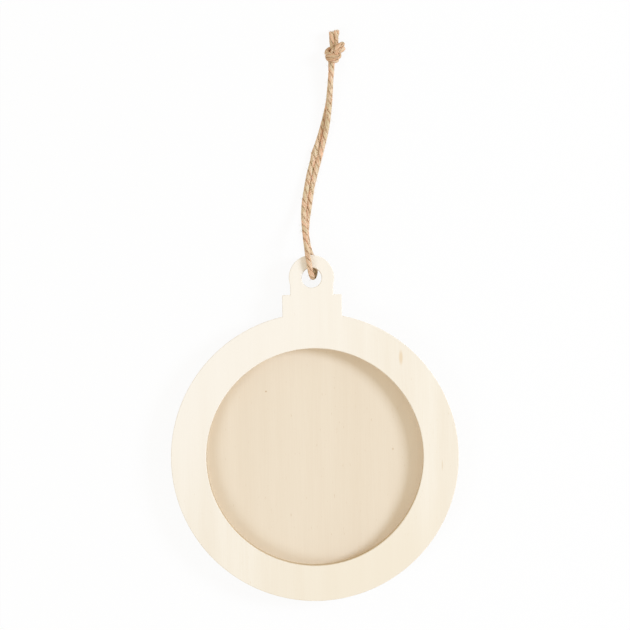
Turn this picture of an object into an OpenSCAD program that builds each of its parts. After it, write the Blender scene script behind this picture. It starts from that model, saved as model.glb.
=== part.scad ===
// Round wooden picture frame ornament with a hanging ring and a knotted loop of twine.
// It lies on its back. The origin is the middle of the picture window, on the back face.
// +Z comes out of the front and +Y runs up through the cap to the hanging ring.

/* [Front frame] */
// Outer diameter of the round frame
frame_d = 100; // [80:1:140]
// Width of the rim between the picture window and the outer edge
rim_w = 12.25; // [9:0.25:25]
// Thickness of the front board
front_t = 5; // [3.5:0.5:9]

/* [Cap and hanging ring] */
// Width of the square cap on top of the round frame
cap_w = 20.7; // [18:0.1:30]
// Height of the cap's shoulder above the top of the round frame
cap_rise = 6.4; // [5:0.1:14]
// Width of the neck that joins the ring to the cap
neck_w = 15; // [12:0.5:17]
// Height of the ring's middle above the cap's shoulder
ring_rise = 5.9; // [4:0.1:10]
// Outer diameter of the hanging ring
ring_d = 15.8; // [15:0.1:24]
// Diameter of the hanging hole
hole_d = 7; // [6:0.25:10]

/* [Backing panel] */
// Thickness of the panel that closes the window from behind
backing_t = 3; // [2:0.5:6]
// How far the panel's edge stays inside the edge of the round frame
backing_inset = 4; // [1:0.5:6]

/* [Twine] */
// Diameter of the twine
twine_d = 1.8; // [1.2:0.1:2.4]

/* [Knot] */
// Width across the knot's big turn
knot_w = 6.4; // [5.2:0.1:8]
// Width across the knot's small turn, next to the loop
small_turn_w = 5.3; // [4.6:0.1:6.4]
// Distance from the loop's end to the middle of the small turn
small_turn_at = 2; // [1.8:0.1:2.6]
// Distance from the loop's end to the middle of the big turn
big_turn_at = 5.1; // [4.4:0.1:6]
// Length of the knot's body, without its tails
knot_l = 7.9; // [7.4:0.1:10]
// Slant of the turns across the knot
turn_slant = 15; // [0:1:25]
// Length of the longer tail, on the right, past the knot's body
tail_l = 3.9; // [2:0.1:20]
// How much shorter the left tail is
tail_step = 0.5; // [0:0.1:1.6]
// Spread of each tail away from the other
tail_spread = 3; // [0:0.5:12]

/* [Hidden] */
$fn = 96;

// Overlap of pieces that are joined, and the run of a cut past the face that it leaves
joint_lap = 1;

window_d = frame_d - 2 * rim_w;
backing_d = frame_d - 2 * backing_inset;
shoulder_y = frame_d / 2 + cap_rise;
ring_y = shoulder_y + ring_rise;

// Number of sides of the twine's tube
TWINE_SIDES = 8;

// Middle line of the twine, from the knot over the front of the ring, down through the
// hanging hole, up behind the ring and back to the knot. The first strand lies on the left
// and the second on the right. The second crosses over the first one near the knot, and
// under it next to the ring.
TWINE_ROUTE = [
    [8.2, 137.1, 2.3],
    [8.1, 134, 2.1],
    [7.8, 129.5, 1.5],
    [7.3, 125, 0.9],
    [5.9, 119, 0.9],
    [4.2, 113, 0.9],
    [2.5, 108, 0.9],
    [1.1, 103, 0.9],
    [-0.2, 98.5, 1.3],
    [-1.1, 94, 1.8],
    [-1.9, 89.5, 2.4],
    [-2.3, 85, 3.5],
    [-2.2, 80.5, 5.4],
    [-1.9, 76.5, 7.4],
    [-1.5, 73, 8.7],
    [-1.1, 69.5, 9],
    [-0.6, 66.1, 9.05],
    [-0.3, 64.3, 8.4],
    [0.1, 63, 7],
    [0.5, 62.5, 5.2],
    [0.9, 63, 3.4],
    [1.3, 64.4, 2],
    [1.3, 66.2, 1.2],
    [0.8, 68.3, 0.9],
    [0, 70.4, 0.9],
    [-0.7, 72.6, 0.9],
    [-1.2, 75, 0.9],
    [-1.5, 78.5, 0.9],
    [-1.2, 83, 0.9],
    [-0.4, 88, 0.9],
    [0.7, 94, 0.9],
    [2.2, 100, 0.9],
    [3.8, 105.5, 0.9],
    [5.1, 110, 1.5],
    [6.2, 114.5, 2.4],
    [7, 119.5, 2.7],
    [7.6, 125, 2.8],
    [7.9, 130, 3.4],
    [8.3, 134, 4],
    [8.6, 137.1, 4.1]
];

// Middle of the loop's two ends, which meet the knot side by side
knot_root = (TWINE_ROUTE[0] + TWINE_ROUTE[len(TWINE_ROUTE) - 1]) / 2;
// Sideways shift of the knot's body from the loop's ends, half of it at the small turn
KNOT_SHIFT = 0.8;
// How much wider the knot's first collar is than the two strands that it grips
COLLAR_MARGIN = 0.7;
collar_d = 2 * twine_d + COLLAR_MARGIN;
core_d = knot_w - twine_d;

function unit(v) = v / norm(v);

// Direction of the twine at one point of its route. Both ends leave the knot square.
function heading(route, i) =
    i == 0 ? [0, -1, 0]
    : i == len(route) - 1 ? [0, 1, 0]
    : unit(route[i + 1] - route[i - 1]);

// Corners of the tube's cross section at one point of the route
function ring_points(route, i, d) =
    let (
        along = heading(route, i),
        up = unit(cross([1, 0, 0], along)),
        side = cross(along, up)
    )
    [for (k = [0:TWINE_SIDES - 1])
        let (turn = 360 * (k + 0.5) / TWINE_SIDES)
        route[i] + d / 2 * (cos(turn) * side + sin(turn) * up)];

// Tube of diameter d along a route
module tube(route, d) {
    last = len(route) - 1;
    n = TWINE_SIDES;
    points = [for (i = [0:last]) each ring_points(route, i, d)];
    first_cap = [for (k = [0:n - 1]) n - 1 - k];
    last_cap = [for (k = [0:n - 1]) last * n + k];
    walls = [
        for (i = [0:last - 1])
            for (k = [0:n - 1])
                let (m = (k + 1) % n)
                each [
                    [i * n + k, i * n + m, (i + 1) * n + m],
                    [i * n + k, (i + 1) * n + m, (i + 1) * n + k]
                ]
    ];
    polyhedron(points, concat([last_cap, first_cap], walls), convexity = 6);
}

// One board: the round rim, the cap, the neck and the ring, with the window and the hole cut out
module front_frame() {
    color("#F6EBD6")
    translate([0, 0, backing_t])
    difference() {
        union() {
            cylinder(d = frame_d, h = front_t);
            translate([-cap_w / 2, window_d / 2 + joint_lap, 0])
                cube([cap_w, shoulder_y - window_d / 2 - joint_lap, front_t]);
            translate([-neck_w / 2, shoulder_y - joint_lap, 0])
                cube([neck_w, ring_rise + joint_lap, front_t]);
            translate([0, ring_y, 0])
                cylinder(d = ring_d, h = front_t);
        }
        translate([0, 0, -joint_lap])
            cylinder(d = window_d, h = front_t + 2 * joint_lap);
        translate([0, ring_y, -joint_lap])
            cylinder(d = hole_d, h = front_t + 2 * joint_lap);
    }
}

// Thin round panel glued behind the window. It carries the picture and is what the frame lies on.
module backing_panel() {
    color("#E6D4B4")
    cylinder(d = backing_d, h = backing_t);
}

module twine() {
    color("#D2AE7C")
    tube(TWINE_ROUTE, twine_d);
}

// One turn of the twine across the knot, around a point
module turn(middle, width) {
    translate(middle)
    rotate([0, 0, turn_slant])
    rotate([90, 0, 0])
    rotate_extrude()
        translate([(width - twine_d) / 2, 0])
        circle(d = twine_d);
}

// Round rod from a point along +Y, leaning to the right by an angle
module rod(start, d, length, lean = 0) {
    translate(start)
    rotate([-90, 0, -lean])
        cylinder(d = d, h = length);
}

// Overhand knot tied in both strands together, with two short tails. It lies on its big turn.
module knot() {
    // Point in the knot, across from the loop's ends and at a distance from them
    function inside(across, along) = [knot_root.x + across, knot_root.y + along, knot_w / 2];
    tail_root = knot_l - joint_lap;
    color("#C9A26C")
    union() {
        rod(knot_root, collar_d, small_turn_at);
        rod(inside(KNOT_SHIFT, small_turn_at - joint_lap), core_d, knot_l - small_turn_at + joint_lap);
        turn(inside(KNOT_SHIFT / 2, small_turn_at), small_turn_w);
        turn(inside(KNOT_SHIFT, big_turn_at), knot_w);
        for (side = [-1, 1])
            rod(inside(KNOT_SHIFT + side * twine_d / 2, tail_root), twine_d,
                joint_lap + tail_l - (side < 0 ? tail_step : 0), side * tail_spread);
    }
}

front_frame();
backing_panel();
twine();
knot();
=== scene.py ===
# %% [markdown]
# A round picture frame ornament in bare wood
#
# The object is a craft blank, made to be painted and hung on a tree. Two boards are cut from
# plywood: a front board with a round window, a square cap and a small ring, and a thin disc
# glued behind the window. A loop of jute twine goes through the ring and is tied in itself.
# The construction comes from the CAD frame. This script gives each piece its true surface: the
# sanded edges and plies of the boards, and the twisted, knotted and hairy twine.

# %% Load the frame
import math

import bmesh
import bpy
import numpy as np
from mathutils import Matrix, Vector, noise


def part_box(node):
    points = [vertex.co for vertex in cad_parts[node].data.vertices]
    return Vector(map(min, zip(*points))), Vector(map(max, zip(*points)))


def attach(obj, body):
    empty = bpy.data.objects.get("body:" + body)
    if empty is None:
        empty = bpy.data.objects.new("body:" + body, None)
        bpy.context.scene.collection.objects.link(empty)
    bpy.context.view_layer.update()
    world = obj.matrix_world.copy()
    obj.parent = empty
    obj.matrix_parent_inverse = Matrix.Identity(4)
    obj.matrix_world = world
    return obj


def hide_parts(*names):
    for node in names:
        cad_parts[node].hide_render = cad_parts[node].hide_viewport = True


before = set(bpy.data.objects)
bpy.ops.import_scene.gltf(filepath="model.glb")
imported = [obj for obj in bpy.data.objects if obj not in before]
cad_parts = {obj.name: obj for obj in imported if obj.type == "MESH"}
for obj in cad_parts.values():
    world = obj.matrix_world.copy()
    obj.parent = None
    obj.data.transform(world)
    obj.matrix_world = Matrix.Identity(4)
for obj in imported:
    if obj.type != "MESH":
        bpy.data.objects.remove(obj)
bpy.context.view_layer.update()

MM = 0.001

# %% [markdown]
# The camera
#
# The ornament lies on its back and is seen from straight above. A long lens keeps the perspective
# weak, so that the wall of the window shows as a thin line only. The camera is turned by about a
# degree, which is how far the ornament leans in the picture. It could be aimed with a Track To
# constraint, but three plain numbers are easier to change.

# %% Camera
CAMERA_HEIGHT = 708 * MM
VIEW_MIDDLE = (0.96 * MM, 49.31 * MM)
LEAN = math.radians(1.08)
LENS_MM = 115.2

camera_data = bpy.data.cameras.new("camera")
camera_data.lens = LENS_MM
camera = bpy.data.objects.new("camera", camera_data)
camera.location = (*VIEW_MIDDLE, CAMERA_HEIGHT)
camera.rotation_euler = (0, 0, -LEAN)
bpy.context.scene.collection.objects.link(camera)
bpy.context.scene.camera = camera
print(f"camera: {CAMERA_HEIGHT / MM:.0f} mm above the table")

# %% [markdown]
# Lines for the twine
#
# Everything soft here follows a line in space. A few given points say where the twine
# goes, a Catmull-Rom spline runs smoothly through them, and the spline is then cut into equal
# steps. Equal steps matter: a twist that is worked out from the length along the line would
# bunch up if the points did.

# %% Smooth and even lines
def smooth_line(points, per_span=16):
    """Points on a smooth curve through the given ones."""
    points = np.array(points, float)
    padded = np.vstack([2 * points[0] - points[1], points, 2 * points[-1] - points[-2]])
    t = (np.arange(per_span) / per_span)[:, None]
    spans = []
    for a, b, c, d in zip(padded, padded[1:], padded[2:], padded[3:]):
        spans.append(0.5 * (2 * b + (c - a) * t + (2 * a - 5 * b + 4 * c - d) * t**2
                            + (3 * b - a - 3 * c + d) * t**3))
    return np.vstack([*spans, points[-1:]])


def distances(line):
    """How far along the line each of its points is."""
    return np.concatenate([[0], np.cumsum(np.linalg.norm(np.diff(line, axis=0), axis=1))])


def even_line(line, step):
    """The same line with its points one step apart."""
    along = distances(line)
    at = np.linspace(0, along[-1], max(2, round(along[-1] / step) + 1))
    return np.stack([np.interp(at, along, line[:, axis]) for axis in range(3)], axis=1)


corner = smooth_line([(0, 0, 0), (10, 0, 0), (10, 10, 0)])
print(f"a corner of two sides of 10: {len(corner)} points, {distances(corner)[-1]:.1f} long, "
      f"and {len(even_line(corner, 0.5))} points in even steps of 0.5")

# %% [markdown]
# The loop of twine
#
# These are the points of the CAD route, from the knot down the left strand, over the front of
# the ring, down through the hole, up behind the ring and back up the right strand. The twine
# lies on the table except where it climbs over the ring and over itself.

# %% Route of the loop, in metres
TWINE_D = 1.8 * MM
LOOP_ROUTE = [
    (0.0082, 0.1371, 0.0023), (0.0081, 0.134, 0.0021), (0.0078, 0.1295, 0.0015),
    (0.0073, 0.125, 0.0009), (0.0059, 0.119, 0.0009), (0.0042, 0.113, 0.0009),
    (0.0025, 0.108, 0.0009), (0.0011, 0.103, 0.0009), (-0.0002, 0.0985, 0.0013),
    (-0.0011, 0.094, 0.0018), (-0.0019, 0.0895, 0.0024), (-0.0023, 0.085, 0.0035),
    (-0.0022, 0.0805, 0.0054), (-0.0019, 0.0765, 0.0074), (-0.0015, 0.073, 0.0087),
    (-0.0011, 0.0695, 0.009), (-0.0006, 0.0661, 0.00905), (-0.0003, 0.0643, 0.0084),
    (0.0001, 0.063, 0.007), (0.0005, 0.0625, 0.0052), (0.0009, 0.063, 0.0034),
    (0.0013, 0.0644, 0.002), (0.0013, 0.0662, 0.0012), (0.0008, 0.0683, 0.0009),
    (0, 0.0704, 0.0009), (-0.0007, 0.0726, 0.0009), (-0.0012, 0.075, 0.0009),
    (-0.0015, 0.0785, 0.0009), (-0.0012, 0.083, 0.0009), (-0.0004, 0.088, 0.0009),
    (0.0007, 0.094, 0.0009), (0.0022, 0.1, 0.0009), (0.0038, 0.1055, 0.0009),
    (0.0051, 0.11, 0.0015), (0.0062, 0.1145, 0.0024), (0.007, 0.1195, 0.0027),
    (0.0076, 0.125, 0.0028), (0.0079, 0.13, 0.0034), (0.0083, 0.134, 0.004),
    (0.0086, 0.1371, 0.0041),
]
loop_line = smooth_line(LOOP_ROUTE)
LOOP_LENGTH = distances(loop_line)[-1]
print(f"loop: {LOOP_LENGTH / MM:.1f} mm of {TWINE_D / MM:.1f} mm twine")

# %% [markdown]
# The knot, tied loosely
#
# Both ends of the twine go side by side through one overhand knot. The list gives the middle of
# the pair and half the way from the first strand to the second. Going up from the loop, the pair
# passes under the wrap, leans to the right, turns behind, comes out on the left and wraps across
# the front. It turns behind once more, behind the lean, and leaves upwards as two tails.

# %% Rough route of the knot, in millimetres
KNOT_ROUTE = [
    ((8.4, 137.1, 3.2), (0.2, 0, 0.9)),
    ((8.5, 138.4, 3), (0.5, 0, 0.7)),
    ((9.3, 139.6, 3.4), (0.8, -0.1, 0.4)),
    ((10.1, 141.6, 4.2), (0.7, -0.4, 0.1)),
    ((11.8, 142.9, 3.9), (0.4, -0.7, 0)),
    ((13.3, 143.8, 2.8), (0.1, -0.8, 0)),
    ((11.5, 142.2, 1.2), (0, -0.8, 0)),
    ((9.4, 142.1, 0.3), (0.1, -0.8, 0)),
    ((7.6, 141.6, 1.2), (0.3, -0.8, 0)),
    ((6.9, 140.3, 3.1), (0.4, -0.75, 0)),
    ((7.3, 138.4, 4.8), (0.3, -0.7, -0.2)),
    ((8.6, 137.9, 5.8), (0, -0.7, -0.2)),
    ((9.5, 138, 4.8), (-0.4, -0.7, 0)),
    ((10.1, 138.5, 3.2), (-0.5, -0.7, 0)),
    ((9.9, 139.8, 2.6), (-0.7, -0.5, 0)),
    ((9, 140.7, 3), (-0.8, -0.1, 0)),
    ((8.8, 142.8, 3.6), (-0.8, 0, 0)),
    ((9.4, 144.8, 3.2), (-0.8, 0, 0)),
    ((9.5, 148.3, 3.2), (-0.83, -0.25, 0)),
]
BEAD_STEP = 0.4
middles = np.array([middle for middle, _ in KNOT_ROUTE], float)
halves = np.array([half for _, half in KNOT_ROUTE], float)
strands = [even_line(smooth_line(middles + side * halves), BEAD_STEP) for side in (-1, 1)]
print("knot, loose:", [f"{distances(s)[-1]:.1f} mm" for s in strands])

# %% [markdown]
# The knot, drawn tight
#
# A listed route leaves gaps, and its strands cut through each other. Here each strand is
# a chain of beads. The links get shorter during the first part of the pull, the chain resists
# sharp bends, and beads that are nearer than their thickness push each other apart, above a solid
# table. Blender's cloth works the same way on a sheet, but it has no thick threads, and this
# small loop gives the same result in every run. Jute gives way when it is squeezed, so the beads
# are thinner than the free twine.

# %% Draw the knot tight
BEAD_D = 1.42
TIGHTENING = 0.9  # length of the links at the end, as a share of their first length
PULL_STEPS = 700
PULL_PART = 2 / 3  # part of the steps in which the links get shorter
STIFFNESS = 0.12
PUSH = 0.4
LARGEST_MOVE = 0.08
NEIGHBOURS = 1.3 * BEAD_D / BEAD_STEP  # beads of one strand this near along it don't push
TINY = 1e-9  # keeps a bead that hasn't moved from dividing by zero


def draw_tight(chains, held):
    """Chains of beads pulled short without cutting through each other. The held beads stay."""
    p = np.concatenate(chains)
    owner = np.repeat(range(len(chains)), [len(c) for c in chains])
    order = np.arange(len(p))
    links = order[:-1][owner[:-1] == owner[1:]]
    rest = np.linalg.norm(p[links + 1] - p[links], axis=1)
    first, second = np.triu_indices(len(p), 1)
    apart = (owner[first] != owner[second]) | (second - first > NEIGHBOURS)
    first, second = first[apart], second[apart]
    free = np.ones(len(p), bool)
    free[held] = False
    for step in range(PULL_STEPS):
        before = p.copy()
        share = 1 - (1 - TIGHTENING) * min(1, step / (PULL_PART * PULL_STEPS))
        for parity in (0, 1):
            some = links % 2 == parity
            a, b = links[some], links[some] + 1
            gap = p[b] - p[a]
            length = np.linalg.norm(gap, axis=1)
            pull = 0.5 * gap * (1 - share * rest[some] / length)[:, None]
            p[a] += pull * free[a, None]
            p[b] -= pull * free[b, None]
        inner = links[1:][np.diff(links) == 1]
        bend = STIFFNESS * ((p[inner - 1] + p[inner + 1]) / 2 - p[inner])
        p[inner] += bend * free[inner, None]
        gap = p[first] - p[second]
        length = np.linalg.norm(gap, axis=1)
        near = length < BEAD_D
        push = PUSH * gap[near] * (BEAD_D / length[near] - 1)[:, None]
        np.add.at(p, first[near], push)
        np.add.at(p, second[near], -push)
        p[:, 2] = np.maximum(p[:, 2], TWINE_D / MM / 2)
        move = p - before
        far = np.linalg.norm(move, axis=1, keepdims=True)
        p = before + move * np.minimum(1, LARGEST_MOVE / np.maximum(far, TINY)) * free[:, None]
    return np.split(p, np.cumsum([len(c) for c in chains])[:-1])


# The first two beads and the last bead of each strand stay where they are
count = len(strands[0])
held_beads = [0, 1, count, count + 1, count - 1, count + len(strands[1]) - 1]
tight = draw_tight(strands, held_beads)
print("knot, tight:", [f"{distances(s)[-1]:.1f} mm" for s in tight])

# %% [markdown]
# One line for the whole twine
#
# The real twine is one piece: tail, knot, loop, knot, tail. Its twist must not break where the
# loop meets the knot, so the line is joined up first and cut again only when the meshes are
# made.

# %% Join the line
RING_STEP = 0.25 * MM
first_strand, second_strand = (even_line(smooth_line(s * MM, per_span=4), RING_STEP)
                               for s in tight)
loop_points = even_line(loop_line, RING_STEP)
twine_line = np.vstack([first_strand[::-1], loop_points[1:-1], second_strand])
LOOP_START = len(first_strand) - 1
LOOP_END = LOOP_START + len(loop_points) - 1
print(f"twine: {distances(twine_line)[-1] / MM:.0f} mm, loop from ring {LOOP_START} to {LOOP_END}")

# %% [markdown]
# Directions across the line
#
# To wrap anything round the line, each of its points needs two directions that are square to it.
# A fixed up direction fails where the twine goes straight down through the hole, so the first
# direction is carried from point to point instead, and only made square again at each one.

# %% Directions across the line
def carried_frame(line):
    """Two directions across the line at each point, carried along it without turning."""
    tangent = np.gradient(line, axis=0)
    tangent /= np.linalg.norm(tangent, axis=1, keepdims=True)
    across = np.empty_like(line)
    start = np.cross(tangent[0], (0, 0, 1))
    across[0] = start / np.linalg.norm(start)
    for i in range(1, len(line)):
        flat = across[i - 1] - tangent[i] * (across[i - 1] @ tangent[i])
        across[i] = flat / np.linalg.norm(flat)
    return across, np.cross(tangent, across)


across, upward = carried_frame(twine_line)
print("directions for", len(across), "rings")

# %% [markdown]
# The two plies
#
# Jute twine is made of two plies, each a bundle of fibres, that are twisted round each other to
# the left. On the front of the twine the plies run down to the right. It is spun from coarse
# fibre, so nothing about it is even: the twist speeds up and slows down, each ply has lumps, and
# the whole twine has thick places, called slubs. In the knot it is pressed thinner.

# %% Thickness and twist along the twine
PLY_PITCH = 6.4 * MM
WANDER, WANDER_LENGTH = 1.1, 5 * MM
SQUEEZED, SQUEEZE_LENGTH = 0.9, 2 * MM
# Middle, reach and extra share of each slub, measured in millimetres along the loop
SLUBS = [(9.7, 2.5, 0.15), (32.1, 2.2, 0.3), (105.2, 4, 0.2), (111.6, 2.5, 0.12), (121, 5, 0.14)]
TWIST_SEED = 3.1


def squeeze(i):
    """How thin the twine is pressed at a point of its line, as a share of its free thickness."""
    into = (LOOP_START - i if i < LOOP_START else i - LOOP_END) * RING_STEP
    return 1 - (1 - SQUEEZED) * min(1, max(0, into / SQUEEZE_LENGTH))


def thickness(i):
    """How thick the twine is at a point of its line, with its slubs and its squeeze, as a share."""
    at = (i - LOOP_START) * RING_STEP / MM
    extra = sum(share * math.exp(-((at - middle) / reach) ** 2) for middle, reach, share in SLUBS)
    return squeeze(i) * (1 + extra)


def twist(i):
    """The angle that the twine has turned by at a point of its line."""
    along = i * RING_STEP
    uneven = WANDER * noise.noise(Vector((along / WANDER_LENGTH, 0, TWIST_SEED)))
    return uneven - 2 * math.pi * along / PLY_PITCH


shares = [thickness(i) for i in range(len(twine_line))]
print(f"twine: a turn every {PLY_PITCH / MM:.1f} mm, "
      f"{min(shares) * TWINE_D / MM:.2f} to {max(shares) * TWINE_D / MM:.2f} mm thick")

# %% [markdown]
# Rings of a ply
#
# Each ply is an oval that is pressed against the other one, so that both together nearly fill a
# circle. A curve with a bevel could make a ply, but its oval has to turn with the twist, so here
# it is a row of rings, later joined by extruding. The table presses the twine flat underneath.
#
# Each point also keeps two notes for the material. fibre says where it is along and round the
# ply, in millimetres, measured along the fibres, which run nearly straight down the twine. The
# second note says how much painted shade the point gets: points deep between the plies, where the
# plies shade each other, get it, more so on some stretches than on others, and so does the whole
# knot, painted a little darker for the shade among its strands.

# %% Rings and notes
PLY_OFFSET = 0.38 * MM
PLY_THICK = 0.52 * MM
PLY_WIDE = 0.8 * MM
PLY_SIDES = 18
FIBRE_TURN = 0.8  # share of the ply's twist that its fibres turn back, so that they run straight
LUMP_SHARE, LUMP_LENGTH = 0.12, 1.6 * MM
FRAYED_SHARE, FRAYED_LENGTH = 0.25, 2 * MM
GROOVE_DEPTH = 1.7
GROOVE_UNEVEN, GROOVE_LENGTH = 1.8, 4 * MM
KNOT_SHADE = 1.2
PLY_APART = 50  # distance between the patterns of the two plies
LUMP_SEED, GROOVE_SEED = 7.3, (3.3, 5.7)
around = np.arange(PLY_SIDES) * 2 * math.pi / PLY_SIDES


def ply_rings(first, last, ply):
    """Rings of one ply between two points of the line, with the notes for the material."""
    rings, fibre, painted_shade = [], [], []
    for i in range(first, last + 1):
        along = i * RING_STEP
        turn = ply * math.pi + twist(i)
        out = math.cos(turn) * across[i] + math.sin(turn) * upward[i]
        side = -math.sin(turn) * across[i] + math.cos(turn) * upward[i]
        lump = 1 + LUMP_SHARE * noise.noise(Vector((along / LUMP_LENGTH, LUMP_SEED * ply, 0)))
        to_end = min(i, len(twine_line) - 1 - i) * RING_STEP
        frayed = 1 + FRAYED_SHARE * max(0, 1 - to_end / FRAYED_LENGTH)
        width = frayed * thickness(i)
        middle = twine_line[i] + PLY_OFFSET * width * out
        ring = middle + width * lump * (
            PLY_THICK * np.outer(np.cos(around), out) + PLY_WIDE * np.outer(np.sin(around), side))
        ring[:, 2] = np.maximum(ring[:, 2], 0)
        rings.append(ring)
        bundle = around - FIBRE_TURN * 2 * math.pi * along / PLY_PITCH
        radius = PLY_WIDE / MM
        fibre.append(np.stack([np.full(PLY_SIDES, along / MM + PLY_APART * ply),
                               radius * np.cos(bundle), radius * np.sin(bundle)], axis=1))
        # painted shade: the deeper a point lies between the plies, the darker, unevenly along the
        # twine
        depth = 1 - np.linalg.norm(ring - twine_line[i], axis=1) / (TWINE_D / 2)
        uneven = 1 + GROOVE_UNEVEN * noise.noise(
            Vector((along / GROOVE_LENGTH, GROOVE_SEED[0] * ply, GROOVE_SEED[1])))
        # painted shade: the knot is painted a little darker all through, for the shade among its
        # strands
        knot_shade = KNOT_SHADE * (1 - squeeze(i))
        painted_shade.append(np.clip(GROOVE_DEPTH * depth * uneven + knot_shade, 0, 1))
    return np.array(rings), np.array(fibre), np.array(painted_shade)


print(f"plies: {PLY_SIDES} sides, one ring every {RING_STEP / MM} mm")

# %% [markdown]
# Tubes from rings
#
# A tube starts as one filled circle. Its open edges are extruded once for each further ring, and
# the new points move to where the ring has them. An operator takes as long for one edge as for
# thousands, so all the tubes of a piece are extruded in the same call.

# %% Extrude rings into tubes
def extrude_tubes(bm, tubes):
    """Adds closed tubes. Each is a list of rings with their fibre and groove notes, and all of
    them have as many rings, so that each step extrudes all the tubes at once."""
    fibre_note = bm.verts.layers.float_vector["fibre"]
    shade_note = bm.verts.layers.float["painted_shade"]
    sides = len(tubes[0][0][0])
    ends = [bmesh.ops.create_circle(bm, cap_ends=True, segments=sides, radius=MM)["verts"]
            for _ in tubes]
    for number in range(len(tubes[0][0])):
        if number:
            edges = [bm.edges.get((end[k - 1], end[k])) for end in ends for k in range(sides)]
            made = set(bmesh.ops.extrude_edge_only(bm, edges=edges)["geom"])
            ends = [[next(e.other_vert(v) for e in v.link_edges if e.other_vert(v) in made)
                     for v in end] for end in ends]
        for end, (rings, fibre, painted_shade) in zip(ends, tubes):
            for k, vert in enumerate(end):
                vert.co = rings[number][k]
                vert[fibre_note] = fibre[number][k]
                vert[shade_note] = painted_shade[number][k]
    edges = [bm.edges.get((end[k - 1], end[k])) for end in ends for k in range(sides)]
    bmesh.ops.edgeloop_fill(bm, edges=edges)


def twine_mesh():
    """An empty bmesh that can hold the notes for the twine's material."""
    bm = bmesh.new()
    bm.verts.layers.float_vector.new("fibre")
    bm.verts.layers.float.new("painted_shade")
    return bm


def finished_piece(bm, name, materials):
    """Turns a bmesh into a piece of the object that rides on its only body."""
    mesh = bpy.data.meshes.new(name)
    bm.to_mesh(mesh)
    bm.free()
    for material in materials:
        mesh.materials.append(material)
    piece = bpy.data.objects.new(name, mesh)
    bpy.context.scene.collection.objects.link(piece)
    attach(piece, "root")
    print(f"{name}: {len(mesh.polygons)} faces")
    return piece


print("each point of a tube keeps its fibre and groove notes")

# %% [markdown]
# Colours and nodes
#
# Colours are written as sRGB hex, as a paint program shows them, and turned to the linear values
# that Blender mixes. One helper adds a node, sets it and links it, so a material reads as a list
# of steps. A Mix node has sockets of the same name for numbers and for colours, so the colour
# ones are told by their place.

# %% Helpers for materials
def srgb(code):
    """An sRGB hex colour as the linear colour that Blender mixes."""
    parts = [int(code[i:i + 2], 16) / 255 for i in (1, 3, 5)]
    return [c / 12.92 if c <= 0.04045 else ((c + 0.055) / 1.055) ** 2.4 for c in parts] + [1]


def add(tree, kind, inputs=None, **settings):
    """Adds a node, sets what is named and links the sockets that are given as inputs."""
    made = tree.nodes.new(kind)
    for name, value in settings.items():
        setattr(made, name, value)
    for socket, value in (inputs or {}).items():
        if isinstance(value, bpy.types.NodeSocket):
            tree.links.new(value, made.inputs[socket])
        else:
            made.inputs[socket].default_value = value
    return made


def new_material(name):
    """A material with only its output left, and its node tree."""
    material = bpy.data.materials.new(name)
    material.use_nodes = True
    material.node_tree.nodes.clear()
    return material, material.node_tree


MIX_A, MIX_B, MIX_RESULT = 6, 7, 2
print("cream", [round(c, 3) for c in srgb("#F6EBD6")])

# %% [markdown]
# Jute
#
# Jute is a bast fibre, spun and plied without any finish. It is straw-coloured, and its fibres
# catch the light as fine pale streaks along the twine. The fibres are about 0.02 mm thick, too
# fine to show, so the streaks here are bundles of them, 0.15 mm wide. Some stretches of the plant
# are more reddish and others more olive, which gives each ply its patches. All of this could be
# painted as a picture, but noise on the fibre note follows the plies by itself.

# %% Streaks and patches of the jute
FIBRE_W, FIBRE_L = 0.15, 5
PATCH_W, PATCH_L = 1.1, 6

twine_jute, tree = new_material("jute_twine_two_ply")
fibre = add(tree, "ShaderNodeAttribute", attribute_name="fibre").outputs["Vector"]
streak_at = add(tree, "ShaderNodeMapping",
                {"Vector": fibre, "Scale": (FIBRE_L, FIBRE_W, FIBRE_W)}, vector_type="TEXTURE")
streaks = add(tree, "ShaderNodeTexNoise",
              {"Vector": streak_at.outputs[0], "Scale": 1, "Detail": 3, "Roughness": 0.6})
streak = add(tree, "ShaderNodeMapRange",
             {"Value": streaks.outputs["Fac"], "From Min": 0.35, "From Max": 0.68})
straw = add(tree, "ShaderNodeMix",
            {0: streak.outputs[0], MIX_A: srgb("#D8B083"), MIX_B: srgb("#FFF1D9")},
            data_type="RGBA")
patch_at = add(tree, "ShaderNodeMapping",
               {"Vector": fibre, "Scale": (PATCH_L, PATCH_W, PATCH_W)}, vector_type="TEXTURE")
patches = add(tree, "ShaderNodeTexNoise",
              {"Vector": patch_at.outputs[0], "Scale": 1, "Detail": 1})
reddish = add(tree, "ShaderNodeMapRange",
              {"Value": patches.outputs["Fac"], "From Min": 0.52, "From Max": 0.62,
               "To Max": 0.75})
olive = add(tree, "ShaderNodeMapRange",
            {"Value": patches.outputs["Fac"], "From Min": 0.5, "From Max": 0.38,
             "To Max": 0.85})
warmed = add(tree, "ShaderNodeMix",
             {0: reddish.outputs[0], MIX_A: straw.outputs[MIX_RESULT], MIX_B: srgb("#F6C4A2")},
             data_type="RGBA")
greened = add(tree, "ShaderNodeMix",
              {0: olive.outputs[0], MIX_A: warmed.outputs[MIX_RESULT], MIX_B: srgb("#DFCDA6")},
              data_type="RGBA")
print(f"jute: streaks {FIBRE_W} x {FIBRE_L} mm, patches {PATCH_W} x {PATCH_L} mm")

# %% [markdown]
# Bark, seams and the matt surface
#
# Cheap jute still has bits of bark in it, short brown dashes about 2 mm long. In the seam between
# the plies the fibres shade each other, and that shade is painted: the shade note turns the colour
# brown there, and in the knot. The bare fibre is dull: it is rough, with little reflection, and the
# streaks also stand up a little as relief.

# %% Bark, seams and surface of the jute
BARK_W, BARK_L = 0.35, 2.2

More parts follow.
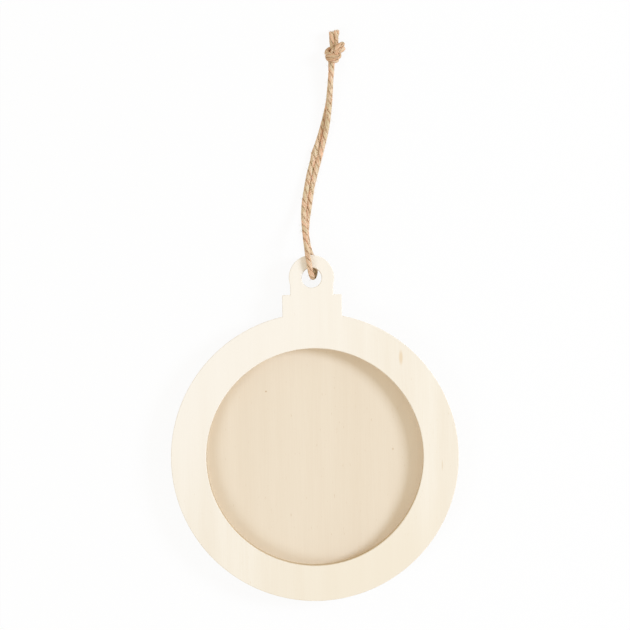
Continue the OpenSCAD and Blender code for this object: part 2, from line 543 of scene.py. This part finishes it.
bark_at = add(tree, "ShaderNodeMapping",
              {"Vector": fibre, "Scale": (BARK_L, BARK_W, BARK_W)}, vector_type="TEXTURE")
specks = add(tree, "ShaderNodeTexNoise", {"Vector": bark_at.outputs[0], "Scale": 1, "Detail": 1})
bark = add(tree, "ShaderNodeMapRange",
           {"Value": specks.outputs["Fac"], "From Min": 0.6, "From Max": 0.7, "To Max": 0.6})
barky = add(tree, "ShaderNodeMix",
            {0: bark.outputs[0], MIX_A: greened.outputs[MIX_RESULT], MIX_B: srgb("#A67A54")},
            data_type="RGBA")
# painted shade from the note: deep in the seams between the plies, and in the knot
painted_shade = add(tree, "ShaderNodeAttribute", attribute_name="painted_shade").outputs["Fac"]
shaded = add(tree, "ShaderNodeMix",
             {0: painted_shade, MIX_A: barky.outputs[MIX_RESULT], MIX_B: srgb("#B98F5E")},
             data_type="RGBA")
bump = add(tree, "ShaderNodeBump",
           {"Height": streaks.outputs["Fac"], "Strength": 0.8, "Distance": 0.08 * MM})
surface = add(tree, "ShaderNodeBsdfPrincipled",
              {"Base Color": shaded.outputs[MIX_RESULT], "Normal": bump.outputs[0],
               "Roughness": 0.85, "IOR": 1.5, "Specular IOR Level": 0.3})
add(tree, "ShaderNodeOutputMaterial", {"Surface": surface.outputs[0]})
print("material", twine_jute.name, "with", len(tree.nodes), "nodes")

# %% [markdown]
# The meshes of the loop and the knot
#
# The one line is cut in three. Its middle stretch becomes the loop, which stands for the CAD
# tube. Both outer stretches, each half of the knot with its tail, become one piece that stands
# for the CAD knot. The plies are smooth-shaded, so 18 sides look round.

# %% Loop and knot
def twine_piece(name, stretches):
    """A piece of twine made of stretches of the line, with both plies."""
    bm = twine_mesh()
    for first, last in stretches:
        extrude_tubes(bm, [ply_rings(first, last, ply) for ply in (0, 1)])
    bmesh.ops.recalc_face_normals(bm, faces=bm.faces)
    for face in bm.faces:
        face.smooth = True
    return finished_piece(bm, name, [twine_jute])


knot_piece = twine_piece("overhand_knot", [(0, LOOP_START), (LOOP_END, len(twine_line) - 1)])
loop_piece = twine_piece("twine_loop", [(LOOP_START, LOOP_END)])
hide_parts("twine")
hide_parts("knot")

# %% [markdown]
# Loose fibres
#
# Cheap jute is never smooth. Fibre ends stand off it, other fibres lie loose along it and blur its
# twist, and the cut tails open into little brushes. A hair particle system would draw them, but
# it isn't a mesh, and here every fibre has to be one. So each is a tube with four sides, thin at
# both ends. Real ones are only about 0.02 mm thick, which would be too fine to show.

# %% One fibre
HAIR_D = 0.07 * MM
COVER_D = 0.13 * MM
BRUSH_D = 0.09 * MM
HAIR_SIDES = 4
HAIR_RINGS = 8
TAPER_START, TAPER_FULL = 0.35, 1.2  # where on half a sine wave a fibre starts, and its height
FIBRE_GROOVE = 0.05  # loose fibres lie in the light, so they are hardly darkened
PATTERN_SPREAD = 40  # a fibre has the colour of one place in the pattern, up to this far along
WAVE, WAVE_BENDS, WAVE_STARTS = 0.12, 3, 6
RISE, CURL = 0.15, 0.55  # how far a fibre leaves its first direction, evenly and more and more
FIBRE_SEED = 12
draw = np.random.default_rng(FIBRE_SEED)
hair_around = np.arange(HAIR_SIDES) * 2 * math.pi / HAIR_SIDES


def across_at(i, turn):
    """The direction across the twine at a point of its line, at an angle round it."""
    return math.cos(turn) * across[i] + math.sin(turn) * upward[i]


def fibre_tube(line, out, side, diameter):
    """One fibre along a short line, thin at both ends, with its notes for the material."""
    through = np.linspace(TAPER_START, math.pi - TAPER_START, len(line))
    taper = np.clip(TAPER_FULL * np.sin(through), 0, 1)
    turned = np.outer(np.cos(hair_around), out) + np.outer(np.sin(hair_around), side)
    rings = [point + diameter / 2 * thin * turned for point, thin in zip(line, taper)]
    note = draw.uniform(0, PATTERN_SPREAD) + np.zeros((HAIR_SIDES, 3))
    return rings, [note] * len(line), [np.full(HAIR_SIDES, FIBRE_GROOVE)] * len(line)


def standing_line(root, lean, out, length):
    """A line that starts along lean, bends towards out and waves a little."""
    t = np.linspace(0, 1, HAIR_RINGS)[:, None]
    wave = WAVE * np.sin(WAVE_BENDS * t + draw.uniform(0, WAVE_STARTS)) * np.cross(lean, out)
    line = root + length * (lean * t + out * (RISE * t + CURL * t**2) + wave * t)
    line[:, 2] = np.maximum(line[:, 2], HAIR_D)
    return line


print(f"fibre: {HAIR_SIDES * HAIR_RINGS} points")

# %% [markdown]
# Fibres that stand off
#
# A fibre whose end has worked loose leaves the twine nearly flat, because the twist still holds
# its other end, and then bends outwards. Fibres that grew straight out of the surface would look
# like fur. They are few and short, or the twine would look like wool.

# %% Fibres that stand off the twine
HAIR_COUNT = 260
HAIR_LENGTHS = (0.4, 1.5)
ROOT_DEPTH = 0.75  # where a fibre leaves the twine, as a share of its radius
FIRST_LIFT = 0.3
NEAREST_END = 4  # rings between a standing fibre and the twine's end, which has its own brush
fibres = []
for _ in range(HAIR_COUNT):
    i = int(draw.integers(NEAREST_END, len(twine_line) - NEAREST_END))
    out = across_at(i, draw.uniform(0, 2 * math.pi))
    lean = (twine_line[i + 1] - twine_line[i - 1]) * draw.choice([-1, 1])
    lean = lean / np.linalg.norm(lean) + FIRST_LIFT * out
    root = twine_line[i] + ROOT_DEPTH * TWINE_D / 2 * out
    line = standing_line(root, lean / np.linalg.norm(lean), out, draw.uniform(*HAIR_LENGTHS) * MM)
    fibres.append(fibre_tube(line, out, np.cross(lean, out), HAIR_D))
print("standing fibres:", len(fibres))

# %% [markdown]
# Fibres that lie along the twine
#
# Most loose fibres never lift off. They run along the twine with less turn than its plies, so they
# cross the seam between the plies and hide it in places. Noise in the material could break up the
# seam too, but only real fibres change its outline and its shadow.

# %% Fibres that lie along the twine
COVER_COUNT = 2000
COVER_LENGTHS = (2, 6)
COVER_TURNS = (-0.6, 0.1)  # turns round the twine in one turn of its plies, mostly the same way
COVER_HEIGHTS = (0.88, 1)
for _ in range(COVER_COUNT):
    count = int(draw.uniform(*COVER_LENGTHS) * MM / RING_STEP)
    i = int(draw.integers(0, len(twine_line) - count))
    turn = draw.uniform(0, 2 * math.pi)
    rate = draw.uniform(*COVER_TURNS) * 2 * math.pi * RING_STEP / PLY_PITCH
    spots = np.linspace(i, i + count, HAIR_RINGS).astype(int)
    height = draw.uniform(*COVER_HEIGHTS) * TWINE_D / 2
    line = np.array([twine_line[j] + thickness(j) * height * across_at(j, turn + rate * (j - i))
                     for j in spots])
    line[:, 2] = np.maximum(line[:, 2], COVER_D / 2)
    fibres.append(fibre_tube(line, across_at(i, turn), across_at(i, turn + math.pi / 2),
                             COVER_D))
print("with lying fibres:", len(fibres))

# %% [markdown]
# Brushes at the cut tails
#
# Scissors cut the twine, and from there nothing holds its fibres, so they spread into a short
# brush. The same tube makes them. They start a little inside the end, so that no gap shows. Only
# now are all the loose fibres extruded, in one go, as one piece.

# %% Brushes at the cut tails
BRUSH_COUNT = 24
BRUSH_LENGTHS = (0.5, 1)
BRUSH_DEPTH = 0.4 * MM
BRUSH_PLACES = (0.1, 0.9)  # from the middle of the cut end to its rim, as shares of the radius
BRUSH_SPREAD = 0.6
END_RINGS = 4  # the last rings give the direction of the end
for end, step in ((0, 1), (len(twine_line) - 1, -1)):
    ahead = twine_line[end] - twine_line[end + END_RINGS * step]
    ahead /= np.linalg.norm(ahead)
    for _ in range(BRUSH_COUNT):
        out = across_at(end, draw.uniform(0, 2 * math.pi))
        place = draw.uniform(*BRUSH_PLACES) * TWINE_D / 2 * out
        root = twine_line[end] + place - BRUSH_DEPTH * ahead
        line = standing_line(root, ahead, BRUSH_SPREAD * out, draw.uniform(*BRUSH_LENGTHS) * MM)
        fibres.append(fibre_tube(line, out, np.cross(ahead, out), BRUSH_D))

bm = twine_mesh()
extrude_tubes(bm, fibres)
bmesh.ops.recalc_face_normals(bm, faces=bm.faces)
for face in bm.faces:
    face.smooth = True
fuzz_piece = finished_piece(bm, "loose_fibres", [twine_jute])

# %% [markdown]
# The twine loop
#
# The loop is the middle stretch of the twine, which the picture shows from end to end.

print("cord declared:", loop_piece.name)

# %% [markdown]
# Plywood faces
#
# The boards are basswood plywood: thin veneers glued with their grain crossed, then sanded.
# Basswood is one of the palest and evenest woods, so its grain is nearly invisible: broad soft
# bands, short fine fibre lines and a few flecks, all along the board. The fibre lines are drawn
# 0.35 mm wide, wider than real ones, because finer ones wouldn't show. The grain is noise that is
# stretched along the board by a Mapping node. A Wave texture would draw rings and stripes, which
# a veneer peeled from basswood doesn't have. The bare wood is matt, and its fibre lines are felt
# as a slight relief.
#
# Marks are soft spots of a given size and colour: single places, such as a streak of resin, or wide
# patches of painted light and shade.

# %% Material of a sanded face
FLECK_W, FLECK_L = 0.45, 2.2


def grain_place(tree, place, width, length):
    """The place on the wood with a grain of this width and length, in millimetres, made 1."""
    size = (width * MM, length * MM, width * MM)
    return add(tree, "ShaderNodeMapping", {"Vector": place, "Scale": size},
               vector_type="TEXTURE").outputs[0]


def marked(tree, place, colour, mark):
    """The colour with one soft mark on it: its middle and half sizes in mm, tint and strength."""
    middle, size, tint, strength = mark
    near = add(tree, "ShaderNodeMapping",
               {"Vector": place, "Location": [v * MM for v in middle],
                "Scale": [v * MM for v in size]}, vector_type="TEXTURE")
    off = add(tree, "ShaderNodeVectorMath", {0: near.outputs[0]}, operation="LENGTH")
    stain = add(tree, "ShaderNodeMapRange",
                {"Value": off.outputs["Value"], "From Min": 0.3, "From Max": 1,
                 "To Min": strength, "To Max": 0}, interpolation_type="SMOOTHSTEP")
    return add(tree, "ShaderNodeMix", {0: stain.outputs[0], MIX_A: colour, MIX_B: srgb(tint)},
               data_type="RGBA").outputs[MIX_RESULT]


def sanded_face(name, light, dark, fleck, bands, lines, marks=()):
    """Basswood veneer. bands and lines are a width and length in mm, a strength and a detail."""
    material, tree = new_material(name)
    place = add(tree, "ShaderNodeTexCoord").outputs["Object"]
    grains, shares = [], []
    for width, length, strength, detail in (bands, lines):
        grain = add(tree, "ShaderNodeTexNoise",
                    {"Vector": grain_place(tree, place, width, length), "Scale": 1,
                     "Detail": detail, "Roughness": 0.55}).outputs["Fac"]
        share = add(tree, "ShaderNodeMapRange", {"Value": grain, "From Min": 0.3,
                                                 "From Max": 0.7, "To Max": strength})
        grains.append(grain)
        shares.append(share.outputs[0])
    total = add(tree, "ShaderNodeMath", {0: shares[0], 1: shares[1]})
    colour = add(tree, "ShaderNodeMix",
                 {0: total.outputs[0], MIX_A: srgb(light), MIX_B: srgb(dark)},
                 data_type="RGBA").outputs[MIX_RESULT]
    specks = add(tree, "ShaderNodeTexNoise",
                 {"Vector": grain_place(tree, place, FLECK_W, FLECK_L), "Scale": 1, "Detail": 1})
    rare = add(tree, "ShaderNodeMapRange", {"Value": specks.outputs["Fac"], "From Min": 0.72,
                                            "From Max": 0.84, "To Max": 0.4})
    colour = add(tree, "ShaderNodeMix", {0: rare.outputs[0], MIX_A: colour, MIX_B: srgb(fleck)},
                 data_type="RGBA").outputs[MIX_RESULT]
    for mark in marks:
        colour = marked(tree, place, colour, mark)
    bump = add(tree, "ShaderNodeBump", {"Height": grains[1], "Strength": 0.35,
                                        "Distance": 0.03 * MM})
    surface = add(tree, "ShaderNodeBsdfPrincipled",
                  {"Base Color": colour, "Normal": bump.outputs[0], "Roughness": 0.62,
                   "IOR": 1.5, "Specular IOR Level": 0.25})
    add(tree, "ShaderNodeOutputMaterial", {"Surface": surface.outputs[0]})
    print(f"material {name}: {len(tree.nodes)} nodes")
    return material


# %% [markdown]
# The two faces
#
# The front is the palest. Its upper left is painted almost white and its lower part a little
# creamier, as two wide soft marks: painted light and shade, for the light that falls brighter on
# the upper left. A streak of resin and a pin mark lie on the right. The disc behind the window is a
# browner veneer with two tiny knots.

# %% Faces of the front and the backing
FRONT_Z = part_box("front_frame")[1].z / MM
BACKING_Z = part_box("backing_panel")[1].z / MM
front_face = sanded_face(
    "basswood_plywood_sanded_face", light="#FCF5E7", dark="#F4E9D6", fleck="#E2CDAA",
    bands=(7, 160, 0.6, 2), lines=(0.35, 14, 0.3, 3),
    # painted light and shade: the upper left painted paler and the lower part creamier, as the
    # light falls
    marks=[((-60, 60, FRONT_Z), (110, 110, 9), "#FFFAF1", 0.7),
           ((28, -52, FRONT_Z), (62, 48, 9), "#F5EAD5", 0.7),
           ((30.5, 34, FRONT_Z), (0.95, 3.4, 1), "#E6C48F", 0.45),
           ((44.2, -3.6, FRONT_Z), (0.3, 2.4, 1), "#D8B98A", 0.3)])
backing_face = sanded_face(
    "basswood_plywood_backing_face", light="#F2E5D0", dark="#EADAC2", fleck="#CDB084",
    bands=(9, 160, 0.4, 2), lines=(0.35, 14, 0.25, 3),
    marks=[((-16.7, 22.9, BACKING_Z), (0.5, 0.4, 1), "#C29B66", 0.6),
           ((27.3, 2, BACKING_Z), (0.4, 0.5, 1), "#C9A878", 0.5)])
print(f"faces at {FRONT_Z:.1f} and {BACKING_Z:.1f} mm")

# %% [markdown]
# Cut edges
#
# The edges show how plywood is built: layers with the grain running along the edge are pale and
# finely lined, layers with the end grain towards the eye are darker and dull, and a thin brown
# line of glue lies between them. The layers are flat, so the pattern is worked out from the
# height in the board, and each layer is a millimetre thick. The front board's edge is painted a
# little darker than fresh wood: painted shade, for the shade along the wall of the window.

# %% Material of a cut edge
LAYER_T = 1
GLUE_T = 0.07
GLUE_STRENGTH, GLUE_STRENGTH_BELOW = 0.7, 0.5
SAWN_W, SAWN_H = 0.5, 0.2  # size of the roughness that the cut leaves, along and up the edge


def cut_edge(name, bottom, pale, end_grain, glue):
    """Edge of a plywood board whose lowest layer starts at the height bottom, in millimetres."""
    material, tree = new_material(name)
    place = add(tree, "ShaderNodeTexCoord").outputs["Object"]
    parts = add(tree, "ShaderNodeSeparateXYZ", {0: place})
    lifted = add(tree, "ShaderNodeMath", {0: parts.outputs["Z"], 1: bottom * MM},
                 operation="SUBTRACT")
    layer = add(tree, "ShaderNodeMath", {0: lifted.outputs[0], 1: LAYER_T * MM},
                operation="DIVIDE")
    crossed = add(tree, "ShaderNodeMath", {0: layer.outputs[0], 1: 2}, operation="FLOORED_MODULO")
    is_end = add(tree, "ShaderNodeMath", {0: crossed.outputs[0], 1: 1},
                 operation="GREATER_THAN")
    # Up and down again from layer to layer, so that 0 and 1 are the joints between them
    within = add(tree, "ShaderNodeMath", {0: layer.outputs[0], 1: 1}, operation="PINGPONG")
    joint_above = add(tree, "ShaderNodeMapRange",
                      {"Value": within.outputs[0], "From Min": 1 - GLUE_T, "From Max": 1,
                       "To Max": GLUE_STRENGTH})
    near_below = add(tree, "ShaderNodeMath", {0: within.outputs[0], 1: GLUE_T},
                     operation="LESS_THAN")
    joint_below = add(tree, "ShaderNodeMath", {0: near_below.outputs[0], 1: GLUE_STRENGTH_BELOW},
                      operation="MULTIPLY")
    glued = add(tree, "ShaderNodeMath", {0: joint_above.outputs[0], 1: joint_below.outputs[0]},
                operation="MAXIMUM")
    rough_at = add(tree, "ShaderNodeMapping",
                   {"Vector": place, "Scale": (SAWN_W * MM, SAWN_W * MM, SAWN_H * MM)},
                   vector_type="TEXTURE")
    rough = add(tree, "ShaderNodeTexNoise",
                {"Vector": rough_at.outputs[0], "Scale": 1, "Detail": 3})
    tone = add(tree, "ShaderNodeMapRange", {"Value": rough.outputs["Fac"], "From Min": 0.3,
                                            "From Max": 0.7, "To Max": 0.35})
    layered = add(tree, "ShaderNodeMix", {0: is_end.outputs[0], MIX_A: srgb(pale),
                                          MIX_B: srgb(end_grain)}, data_type="RGBA")
    toned = add(tree, "ShaderNodeMix", {0: tone.outputs[0], MIX_A: layered.outputs[MIX_RESULT],
                                        MIX_B: srgb(end_grain)}, data_type="RGBA")
    colour = add(tree, "ShaderNodeMix", {0: glued.outputs[0], MIX_A: toned.outputs[MIX_RESULT],
                                         MIX_B: srgb(glue)}, data_type="RGBA")
    bump = add(tree, "ShaderNodeBump", {"Height": rough.outputs["Fac"], "Strength": 0.4,
                                        "Distance": 0.05 * MM})
    surface = add(tree, "ShaderNodeBsdfPrincipled",
                  {"Base Color": colour.outputs[MIX_RESULT], "Normal": bump.outputs[0],
                   "Roughness": 0.75, "IOR": 1.5, "Specular IOR Level": 0.2})
    add(tree, "ShaderNodeOutputMaterial", {"Surface": surface.outputs[0]})
    print(f"material {name}: {len(tree.nodes)} nodes")
    return material


# painted shade: the front edge is a little darker than the backing's, for the shade along the
# window's wall
front_edge = cut_edge("basswood_plywood_cut_edge", BACKING_Z, "#E2D2B8", "#D3BE9C", "#A98A68")
backing_edge = cut_edge("basswood_backing_cut_edge", 0, "#EAD9BB", "#D5B98F", "#A8845C")

# %% [markdown]
# The two boards
#
# The CAD boards have knife-sharp corners. Real ones are eased with fine sandpaper, and the
# eased edge is what catches the light. The outlines could be modelled again, but the CAD has
# them exactly. So each board is a copy of its CAD mesh: its loose triangles are merged, flat
# areas are dissolved to single faces, and the sharp edges are bevelled by a quarter of a
# millimetre. Faces that stand upright get the edge material.

# %% Boards with eased edges
EASED = 0.25 * MM
MERGE_DISTANCE = 0.001 * MM
SHARP_ANGLE = math.radians(40)
FLAT_ANGLE = math.radians(0.5)
# A face whose normal points less up or down than the first is a wall, more than the second flat
UPRIGHT, FLAT = 0.1, 0.999


def eased_board(node, name, face_material, edge_material):
    """A copy of a CAD board with its sharp edges eased, in place of it."""
    bm = bmesh.new()
    bm.from_mesh(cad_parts[node].data)
    bmesh.ops.remove_doubles(bm, verts=bm.verts, dist=MERGE_DISTANCE)
    bmesh.ops.dissolve_limit(bm, angle_limit=FLAT_ANGLE, verts=bm.verts, edges=bm.edges)
    sharp = [e for e in bm.edges if len(e.link_faces) == 2 and e.calc_face_angle() > SHARP_ANGLE]
    bmesh.ops.bevel(bm, geom=sharp, offset=EASED, segments=3, profile=0.5, affect="EDGES",
                    material=-1, clamp_overlap=True)
    for face in bm.faces:
        face.material_index = int(abs(face.normal.z) < UPRIGHT)
        face.smooth = abs(face.normal.z) < FLAT
    board = finished_piece(bm, name, [face_material, edge_material])
    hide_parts(node)
    return board


front_board = eased_board("front_frame", "front_board", front_face, front_edge)
backing_board = eased_board("backing_panel", "backing_board", backing_face, backing_edge)

# %% [markdown]
# Table
#
# The ornament lies on a plain white table, seen as white as the paper of a product photo. More
# light would do that too, but it would bleach the wood. Instead, what the camera sees of the
# table is mostly a glow of its own, which lights nothing, and the rest is plain white paint that
# still takes the soft shadow. Reflections and glass see the same white.

# %% Table
TABLE_WHITE = "#FAFAFA"
TABLE_SIZE = 6
SHADOW_SHARE = 0.09  # share of what is seen that is paint, and so takes the shadow


def seen_directly(tree):
    """1 where the camera sees a thing, straight, mirrored or through glass, and 0 for its light."""
    path = add(tree, "ShaderNodeLightPath")
    seen = add(tree, "ShaderNodeMath", {0: path.outputs["Is Camera Ray"],
                                        1: path.outputs["Is Glossy Ray"]}, operation="MAXIMUM")
    seen = add(tree, "ShaderNodeMath",
               {0: seen.outputs[0], 1: path.outputs["Is Transmission Ray"]}, operation="MAXIMUM")
    return seen.outputs[0]


table_material, tree = new_material("white_table")
paint = add(tree, "ShaderNodeBsdfDiffuse", {"Color": srgb(TABLE_WHITE)})
glow = add(tree, "ShaderNodeEmission", {"Color": (1, 1, 1, 1), "Strength": 1.0})
glowing = add(tree, "ShaderNodeMath", {0: seen_directly(tree), 1: 1 - SHADOW_SHARE},
              operation="MULTIPLY")
mixed = add(tree, "ShaderNodeMixShader", {0: glowing.outputs[0], 1: paint.outputs[0],
                                          2: glow.outputs[0]})
add(tree, "ShaderNodeOutputMaterial", {"Surface": mixed.outputs[0]})

bm = bmesh.new()
bmesh.ops.create_grid(bm, x_segments=1, y_segments=1, size=TABLE_SIZE / 2)
table_mesh = bpy.data.meshes.new("table")
bm.to_mesh(table_mesh)
bm.free()
table_mesh.materials.append(table_material)
table = bpy.data.objects.new("table", table_mesh)
bpy.context.scene.collection.objects.link(table)
print(f"table: {TABLE_SIZE} m square")

# %% [markdown]
# Light
#
# Most of the light comes evenly from all round, and it is a little warm, as it is in a room. Two
# soft lamps draw the shade inside the window: one on the right the deep shade along the right
# wall, and a weaker one opposite the fainter shade on the left. They are slightly cool, so that
# both lights together are white on the wood, and only the shade, which the lamps don't reach, is
# warm. One large lamp would be simpler, but it leaves the left wall without its shade.

# %% Light
WORLD_SHARE = 0.638  # strength of the light from all round; the lamps give the rest
LAMP_COLOUR = srgb("#D7E7FF")
AMBIENT_COLOUR = srgb("#FFF2DA")
AIM = Vector((0, 0, 0))


def soft_lamp(name, azimuth, tilt, distance, size, watts):
    """A soft lamp aimed at the window, tilt degrees off straight above."""
    light = bpy.data.lights.new(name, "AREA")
    light.shape = "DISK"
    light.size = size
    light.energy = watts
    light.color = LAMP_COLOUR[:3]
    lamp = bpy.data.objects.new(name, light)
    a, t = math.radians(azimuth), math.radians(tilt)
    away = Vector((math.cos(a) * math.sin(t), math.sin(a) * math.sin(t), math.cos(t)))
    lamp.location = AIM + distance * away
    lamp.rotation_mode = "QUATERNION"
    lamp.rotation_quaternion = away.to_track_quat("Z", "Y")
    lamp.visible_camera = False
    bpy.context.scene.collection.objects.link(lamp)
    print(f"{name}: {watts} W, {size} m across, {distance} m away")


soft_lamp("lamp_right", azimuth=13, tilt=54, distance=1.2, size=0.42, watts=8.6)
soft_lamp("lamp_left", azimuth=206, tilt=45, distance=1.2, size=0.6, watts=3.6)

world = bpy.data.worlds.new("studio")
world.use_nodes = True
tree = world.node_tree
tree.nodes.clear()
seen = seen_directly(tree)
strength = add(tree, "ShaderNodeMapRange", {"Value": seen, "To Min": WORLD_SHARE, "To Max": 1})
tint = add(tree, "ShaderNodeMix", {0: seen, MIX_A: AMBIENT_COLOUR, MIX_B: (1, 1, 1, 1)},
           data_type="RGBA")
sky = add(tree, "ShaderNodeBackground", {"Color": tint.outputs[MIX_RESULT],
                                         "Strength": strength.outputs[0]})
add(tree, "ShaderNodeOutputWorld", {"Surface": sky.outputs[0]})
bpy.context.scene.world = world
bpy.context.scene.view_settings.view_transform = "Standard"
print("world share", WORLD_SHARE)
